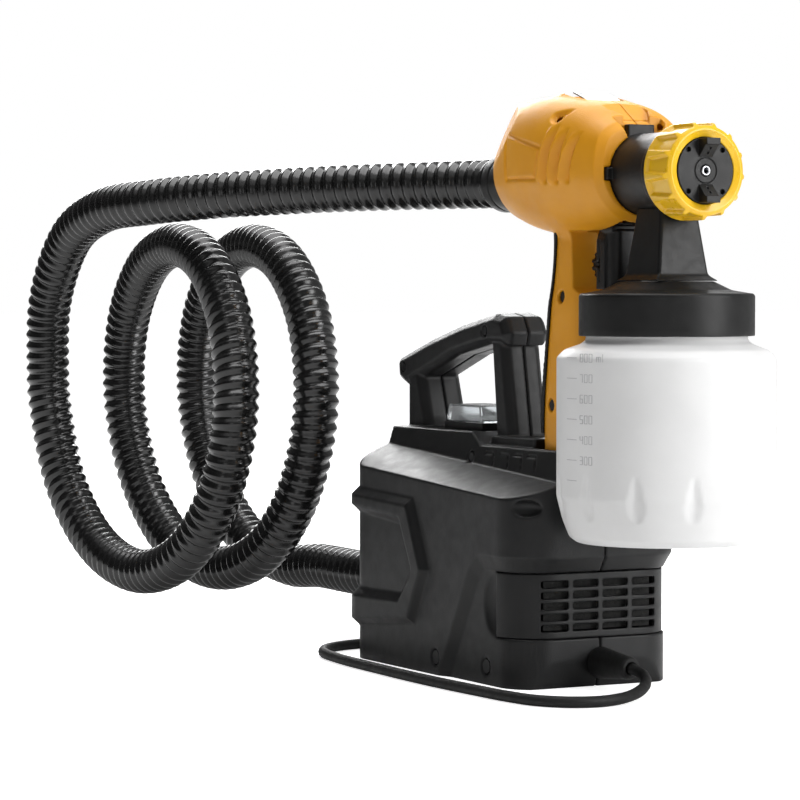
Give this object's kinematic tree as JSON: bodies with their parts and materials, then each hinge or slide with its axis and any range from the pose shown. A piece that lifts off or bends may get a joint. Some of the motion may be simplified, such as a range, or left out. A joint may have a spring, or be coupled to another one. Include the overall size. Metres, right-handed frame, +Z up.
{
  "type": "turbine paint sprayer",
  "caption": "Turbine paint sprayer: base unit with carry handle, ribbed air hose, docked spray gun with screw-on paint cup, and mains cord.",
  "frame": {"origin": "on the floor, below the middle of the sprayer's box without its hose and cord", "axes": "+X from the base towards the gun's nozzle, +Y to the gun's left, +Z up"},
  "size_m": [0.616, 0.2812, 0.3184],
  "materials": {
    "casing": "finely textured, satin",
    "black_plastic": "satin",
    "gun_yellow": "finely textured satin",
    "ring_yellow": "semi-gloss",
    "rubber": "matt",
    "hose_plastic": "gloss, ribbed",
    "cup_plastic": "frosted, translucent",
    "clear_plastic": "clear",
    "foam": "open-cell foam",
    "board": "laminate",
    "fan_plastic": "moulded",
    "steel": "machined",
    "brass": "machined",
    "badge_metal": "satin"
  },
  "bodies": {
    "base": {"base_shell_right": "casing", "base_shell_left": "casing", "filter_foam": "foam", "base_screw_1": "steel", "base_screw_2": "steel", "base_screw_3": "steel", "base_screw_4": "steel", "base_screw_5": "steel", "switch_bezel": "black_plastic", "switch_boot": "clear_plastic", "turbine_housing": "casing", "motor_can": "steel", "motor_spider": "black_plastic", "bearing_rear": "steel", "bearing_front": "steel", "circuit_board": "board", "hose_port": "black_plastic", "hose_cuff_base": "black_plastic", "strain_relief": "rubber", "cord_clamp": "black_plastic", "hose": "hose_plastic", "power_cord": "rubber", "cord_coil": "rubber", "cord_tail": "rubber", "plug": "rubber"},
    "gun": {"gun_shell_right": "gun_yellow", "gun_shell_left": "gun_yellow", "gun_screw_1": "steel", "gun_screw_2": "steel", "top_badge": "badge_metal", "grip_pad": "rubber", "hose_socket": "black_plastic", "hose_cuff_gun": "black_plastic", "barrel": "black_plastic", "feed_tower": "black_plastic", "cup_lid": "black_plastic", "cup_gasket": "rubber", "pickup_tube": "clear_plastic", "fluid_nozzle": "badge_metal", "packing_nut": "brass", "needle_spring": "steel", "trigger_pin": "steel"},
    "vent_cover": {"vent_cover": "casing"},
    "switch_rocker": {"switch_rocker": "black_plastic"},
    "rotor": {"armature": "steel", "rotor_shaft": "steel", "impeller": "fan_plastic"},
    "trigger": {"trigger": "black_plastic"},
    "needle": {"needle": "steel"},
    "flow_wheel": {"flow_wheel": "black_plastic"},
    "ring_nut": {"ring_nut": "ring_yellow"},
    "air_cap": {"air_cap": "black_plastic"},
    "cup": {"cup": "cup_plastic"}
  },
  "joints": [
    {"name": "gun_lift", "type": "slide", "parent": "base", "child": "gun", "axis": [0.1387, 0, 0.9903], "range_m": [0, 0.09]},
    {"name": "vent_cover_slide", "type": "slide", "parent": "base", "child": "vent_cover", "axis": [1, 0, 0], "range_m": [0, 0.03]},
    {"name": "switch_rock", "type": "hinge", "parent": "base", "child": "switch_rocker", "pos_m": [-0.08375, 0, 0.134], "axis": [0, 1, 0], "range_deg": [-12, 0]},
    {"name": "rotor_spin", "type": "hinge", "parent": "base", "child": "rotor", "pos_m": [-0.07175, 0, 0.044], "axis": [1, 0, 0], "continuous": true},
    {"name": "trigger_pull", "type": "hinge", "parent": "gun", "child": "trigger", "pos_m": [0.06025, 0, 0.289], "axis": [0, 1, 0], "range_deg": [0, 7], "stiffness_Nm_per_rad": 0.4, "springref_deg": -8.59},
    {"name": "needle_slide", "type": "slide", "parent": "gun", "child": "needle", "axis": [-1, 0, 0], "range_m": [0, 0.0025]},
    {"name": "flow_wheel_turn", "type": "hinge", "parent": "trigger", "child": "flow_wheel", "pos_m": [0.05275, 0, 0.225], "axis": [1, 0, 0], "range_deg": [-180, 180]},
    {"name": "ring_nut_turn", "type": "hinge", "parent": "gun", "child": "ring_nut", "pos_m": [0.13225, 0, 0.2715], "axis": [1, 0, 0], "range_deg": [0, 360]},
    {"name": "air_cap_turn", "type": "hinge", "parent": "gun", "child": "air_cap", "pos_m": [0.14025, 0, 0.2715], "axis": [1, 0, 0], "range_deg": [-90, 90]},
    {"name": "cup_turn", "type": "hinge", "parent": "gun", "child": "cup", "pos_m": [0.10725, 0, 0.15], "axis": [0, 0, 1], "range_deg": [-270, 0]}
  ],
  "couplings": [
    {"joint": "needle_slide", "follows": "trigger_pull", "m_per_rad": 0.0175}
  ]
}
